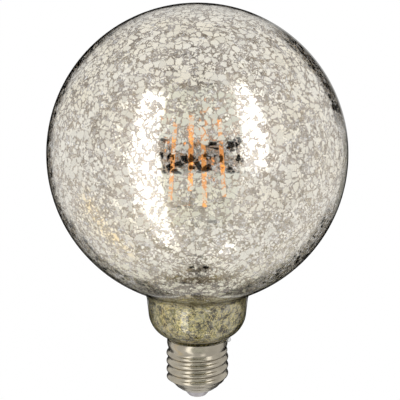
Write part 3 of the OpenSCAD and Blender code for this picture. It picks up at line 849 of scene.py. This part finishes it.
@dataclass
class View:
    """The photograph's camera."""

    target: Vector = field(default_factory=lambda: Vector((0.0, 0.0, 0.107)))
    elevation: float = 16.5
    distance: float = 1.15
    lens: float = 250.0
    aside: float = 0.0011
    below: float = 0.0191

    @property
    def toward(self) -> Vector:
        """Direction from the globe's centre to the camera."""
        tilt = math.radians(self.elevation)
        return Vector((0.0, -math.cos(tilt), math.sin(tilt)))

    @property
    def right(self) -> Vector:
        """Direction to the right of the picture."""
        return Vector((1.0, 0.0, 0.0))

    @property
    def up(self) -> Vector:
        """Direction to the top of the picture."""
        return self.toward.cross(self.right)

    def build(self) -> bpy.types.Object:
        """Sets up the camera and makes it the scene's own.

        Returns:
            The camera.
        """
        data = bpy.data.cameras.new("camera")
        data.lens = self.lens
        data.clip_start = 0.05
        data.clip_end = 100.0
        camera = bpy.data.objects.new("camera", data)
        bpy.context.scene.collection.objects.link(camera)
        camera.location = self.target + self.toward * self.distance
        aim = self.target + self.right * self.aside - self.up * self.below
        camera.rotation_euler = (aim - camera.location).to_track_quat("-Z", "Y").to_euler()
        bpy.context.scene.camera = camera
        return camera


class Spread(Enum):
    """How the two ranges of a studio panel are read."""

    LEVEL = "across and up from the lens, in degrees"
    ROUND = "round the picture and away from the lens, in degrees"
    PLUMB = "round the bulb's axis from the lens's side and up from level, in degrees"


@dataclass(frozen=True)
class Panel:
    """A curved softbox or flag that the bulb mirrors, with ends that may fade out."""

    name: str
    first: tuple[float, float]
    second: tuple[float, float]
    light: float
    colour: Colour = (1.0, 1.0, 1.0)
    spread: Spread = Spread.LEVEL
    distance: float = 1.7
    first_fade: tuple[float, float] = (0.0, 0.0)
    second_fade: tuple[float, float] = (0.0, 0.0)
    cover: float = 1.0
    height: float = 0.107

    def point(self, view: View, a: float, b: float) -> Vector:
        """Returns the panel's point for one value of each range.

        Args:
            view: The camera that the angles are measured from.
            a: Value of the first range.
            b: Value of the second range.

        Returns:
            The point in metres.
        """
        a, b = math.radians(a), math.radians(b)
        centre = Vector((0.0, 0.0, self.height))
        if self.spread is Spread.PLUMB:
            level = Vector((math.sin(a), -math.cos(a), 0.0)) * math.cos(b)
            return centre + (level + Vector((0.0, 0.0, math.sin(b)))) * self.distance
        if self.spread is Spread.LEVEL:
            x, y, z = math.sin(a) * math.cos(b), math.sin(b), math.cos(a) * math.cos(b)
        else:
            x, y, z = math.cos(a) * math.sin(b), math.sin(a) * math.sin(b), math.cos(b)
        return centre + (view.right * x + view.up * y + view.toward * z) * self.distance

    def strength(self, value: float, span: tuple[float, float], fade: tuple[float, float]) -> float:
        """Returns how much of the panel shows at a value of one range.

        Args:
            value: Value within the range.
            span: The range.
            fade: Lengths of the soft ends at its start and at its end.

        Returns:
            A share from 0 to 1.
        """
        rise = min(1.0, (value - span[0]) / fade[0]) if fade[0] else 1.0
        fall = min(1.0, (span[1] - value) / fade[1]) if fade[1] else 1.0
        low = max(0.0, min(rise, fall))
        return low * low * (3.0 - 2.0 * low)

    def build(self, view: View, steps: int = 36) -> bpy.types.Object:
        """Makes the panel, which only mirrors and glass see.

        Args:
            view: The camera that the angles are measured from.
            steps: Number of faces each way.

        Returns:
            The panel.
        """
        points, cover = [], []
        for j in range(steps + 1):
            b = self.second[0] + (self.second[1] - self.second[0]) * j / steps
            for i in range(steps + 1):
                a = self.first[0] + (self.first[1] - self.first[0]) * i / steps
                points.append(self.point(view, a, b))
                shown = self.strength(a, self.first, self.first_fade)
                cover.append(self.cover * shown * self.strength(b, self.second, self.second_fade))
        wide = steps + 1
        faces = [[j * wide + i, j * wide + i + 1, (j + 1) * wide + i + 1, (j + 1) * wide + i]
                 for j in range(steps) for i in range(steps)]
        panel = mesh_piece(self.name, points, faces)
        panel.data.attributes.new("cover", "FLOAT", "POINT").data.foreach_set("value", cover)
        panel.data.materials.append(self.material())
        panel.visible_camera = False
        panel.visible_diffuse = False
        panel.visible_shadow = False
        return panel

    def material(self) -> bpy.types.Material:
        """Returns a light of the panel's colour that its cover lets through."""
        material = bpy.data.materials.new(self.name)
        material.use_nodes = True
        material.node_tree.nodes.clear()
        tree = Tree(material.node_tree)
        light = tree.add("ShaderNodeEmission", {"Color": rgba(self.colour), "Strength": self.light})
        cover = tree.add("ShaderNodeAttribute", attribute_name="cover", attribute_type="GEOMETRY")
        clear = tree.add("ShaderNodeBsdfTransparent")
        soft = tree.add("ShaderNodeMixShader", {0: cover.outputs["Fac"], 1: clear.outputs[0], 2: light.outputs[0]})
        tree.add("ShaderNodeOutputMaterial", {"Surface": soft.outputs[0]})
        return material


@dataclass
class Studio:
    """White room, strip lights, and the black flags that draw the rims."""

    panels: tuple[Panel, ...] = (
        Panel("back", (0.0, 360.0), (125.0, 179.0), 0.5, (1.0, 0.98, 0.94), Spread.ROUND, 1.95,
              second_fade=(40.0, 0.0), cover=0.75),
        Panel("window", (-34.0, 34.0), (-52.0, 51.0), 0.93, (0.97, 1.0, 0.96), distance=1.9,
              first_fade=(4.0, 4.0)),
        Panel("window_head", (-26.0, 28.0), (49.6, 52.6), 0.08, distance=1.85, first_fade=(6.0, 6.0), cover=0.8),
        Panel("window_sill", (-30.0, 32.0), (-55.4, -52.2), 0.12, distance=1.85, first_fade=(8.0, 8.0),
              cover=0.8),
        Panel("band", (-38.0, 37.0), (-13.0, 9.0), 0.0, first_fade=(5.0, 6.0), second_fade=(1.0, 1.0)),
        Panel("left_strip", (-54.0, -27.0), (-74.0, 46.0), 3.0, distance=1.6, first_fade=(7.0, 4.0),
              second_fade=(14.0, 8.0)),
        Panel("right_strip", (32.0, 55.0), (-13.0, 52.0), 3.0, distance=1.6, first_fade=(4.0, 6.0),
              second_fade=(8.0, 4.0)),
        Panel("left_lamp", (238.0, 249.0), (63.0, 74.0), 3.0, spread=Spread.ROUND, distance=1.5,
              first_fade=(3.0, 3.0), second_fade=(3.0, 3.0)),
        Panel("right_lamp", (280.0, 292.0), (74.0, 85.0), 3.0, spread=Spread.ROUND, distance=1.5,
              first_fade=(3.0, 3.0), second_fade=(3.0, 3.0)),
        Panel("warm_arc", (193.0, 243.0), (92.0, 107.0), 1.5, (1.0, 0.84, 0.56), Spread.ROUND, 1.5,
              first_fade=(14.0, 14.0), second_fade=(5.0, 5.0), cover=0.7),
        Panel("foot_spot", (263.0, 277.5), (90.0, 98.5), 0.0, spread=Spread.ROUND, distance=1.5,
              first_fade=(1.5, 1.5)),
        Panel("foot_arc", (251.0, 289.0), (103.0, 115.0), 0.12, (1.0, 0.70, 0.28), Spread.ROUND, 1.5,
              first_fade=(12.0, 12.0), second_fade=(3.0, 3.0), cover=0.95),
        Panel("left_flag", (110.0, 222.0), (141.0, 178.5), 0.0, spread=Spread.ROUND,
              first_fade=(24.0, 12.0), second_fade=(8.0, 0.0)),
        Panel("left_foot_flag", (208.0, 254.0), (143.0, 172.0), 0.02, spread=Spread.ROUND, distance=1.65,
              first_fade=(10.0, 22.0), second_fade=(6.0, 5.0), cover=0.9),
        Panel("right_foot_flag", (286.0, 342.0), (132.0, 172.0), 0.0, spread=Spread.ROUND, distance=1.65,
              first_fade=(22.0, 12.0), second_fade=(5.0, 4.0)),
        Panel("ring", (60.0, 374.0), (153.0, 178.5), 0.0, spread=Spread.ROUND, distance=1.75,
              first_fade=(4.0, 12.0), second_fade=(6.0, 0.0)),
        Panel("right_flag", (6.0, 63.0), (132.0, 160.0), 0.0, spread=Spread.ROUND, distance=1.6,
              first_fade=(12.0, 14.0), second_fade=(6.0, 1.5)),
        Panel("right_grey", (-30.0, 10.0), (144.0, 162.0), 0.28, (1.0, 1.0, 0.92), Spread.ROUND, 1.6,
              first_fade=(8.0, 8.0), second_fade=(2.0, 1.0)),
        Panel("cap_left_flag", (-166.0, -118.0), (-60.0, -5.0), 0.01, spread=Spread.PLUMB, distance=0.25,
              first_fade=(6.0, 8.0), second_fade=(0.0, 12.0), cover=0.85, height=0.012),
        Panel("cap_right_flag", (114.0, 166.0), (-60.0, -4.0), 0.01, spread=Spread.PLUMB, distance=0.25,
              first_fade=(8.0, 6.0), second_fade=(0.0, 10.0), cover=0.85, height=0.012),
    )
    floor_height: float = -2.0
    floor_half: float = 60.0

    def build(self, view: View) -> None:
        """Makes the room and its panels.

        Args:
            view: The camera that the panels are placed by.
        """
        world = bpy.data.worlds.new("room")
        bpy.context.scene.world = world
        world.use_nodes = True
        world.node_tree.nodes.clear()
        tree = Tree(world.node_tree)
        light = tree.add("ShaderNodeBackground", {"Color": (1.0, 1.0, 1.0, 1.0), "Strength": 1.0})
        tree.add("ShaderNodeOutputWorld", {"Surface": light.outputs[0]})
        for panel in self.panels:
            panel.build(view)
            LOG.info("placed %s", panel.name)
        half, level = self.floor_half, self.floor_height
        corners = [Vector((x, y, level)) for x, y in ((-half, -half), (half, -half), (half, half), (-half, half))]
        floor = mesh_piece("floor", corners, [[0, 1, 2, 3]])
        floor.data.materials.append(self.floor_material())

    def floor_material(self) -> bpy.types.Material:
        """Returns the floor's plain white paint."""
        material = bpy.data.materials.new("floor")
        material.use_nodes = True
        material.node_tree.nodes.clear()
        tree = Tree(material.node_tree)
        paint = tree.add("ShaderNodeBsdfDiffuse", {"Color": (1.0, 1.0, 1.0, 1.0)})
        tree.add("ShaderNodeOutputMaterial", {"Surface": paint.outputs[0]})
        return material


def finishes(wear: FineWear) -> dict[str, Finish]:
    """Returns the finish of each material slot that CAD nodes keep.

    Args:
        wear: The shared group of handling marks.

    Returns:
        Finishes by the record's slot names.
    """
    metal = Sheen.METAL
    return {
        "clear_glass": ClearGlass(tint=(0.95, 0.965, 0.955)),
        "copper_clad": Solid(wear, (0.72, 0.36, 0.24), metal, 0.2, 0.35),
        "nickel_wire": Solid(wear, (0.66, 0.64, 0.60), metal, 0.15, 0.3),
        "carrier": Solid(wear, (0.80, 0.78, 0.72), smooth=0.5, dull=0.7),
        "phosphor": Phosphor(wear),
        "tab_steel": Solid(wear, (0.70, 0.69, 0.66), metal, 0.2, 0.4),
        "tinned_wire": Solid(wear, (0.74, 0.74, 0.72), metal, 0.2, 0.4),
        "cement": Solid(wear, (0.74, 0.71, 0.62), smooth=0.7, dull=0.95, grain=0.4),
        "insulator_glass": PressedGlass(wear),
        "contact_brass": Solid(wear, (0.80, 0.75, 0.64), metal, 0.15, 0.35),
        "solder": Solid(wear, (0.70, 0.70, 0.70), metal, 0.2, 0.45, grain=0.2),
        "board_laminate": Solid(wear, (0.05, 0.16, 0.07), smooth=0.25, dull=0.4),
        "chip_black": Solid(wear, (0.025, 0.025, 0.028), smooth=0.35, dull=0.55),
        "resistor_black": Solid(wear, (0.015, 0.015, 0.016), smooth=0.2, dull=0.35),
        "can_sleeve": Solid(wear, (0.04, 0.05, 0.08), smooth=0.2, dull=0.35),
        "fuse_coat": Solid(wear, (0.26, 0.40, 0.29), smooth=0.3, dull=0.5),
    }


def corners(box: Sequence[Sequence[float]]) -> list[list[float]]:
    """Returns a box's two corners as plain lists."""
    return [[float(v) for v in corner] for corner in box]


def main() -> None:
    """Loads the frame, then builds the camera, the pieces and the studio."""
    logging.basicConfig(level=logging.INFO, format="%(name)s: %(message)s")
    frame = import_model()
    view = View()
    view.build()
    wear, flakes = FineWear(), FlakeLayer()

    globe = Globe()
    envelope = globe.build()
    globe.dress(envelope, ClearGlass().material("outer_glass"), SpeckledCoat(flakes).material("speckled_coat"))
    LOG.info("built %s, %d faces", envelope.name, len(envelope.data.polygons))

    cap = ScrewShell()
    shell = cap.build()
    cap.dress(shell, RolledNickel(wear).material("nickel_shell"))
    LOG.info("built %s, %d faces", shell.name, len(shell.data.polygons))

    slots: dict[str, list[str]] = {}
    for part in frame["record"]["subparts"]:
        slots.setdefault(part["material_slot"], []).append(part["node"])
    Fittings(frame["nodes"]).dress(finishes(wear), slots)

    Studio().build(view)
    bpy.context.scene.view_settings.view_transform = "Standard"


if __name__ == "__main__":
    main()
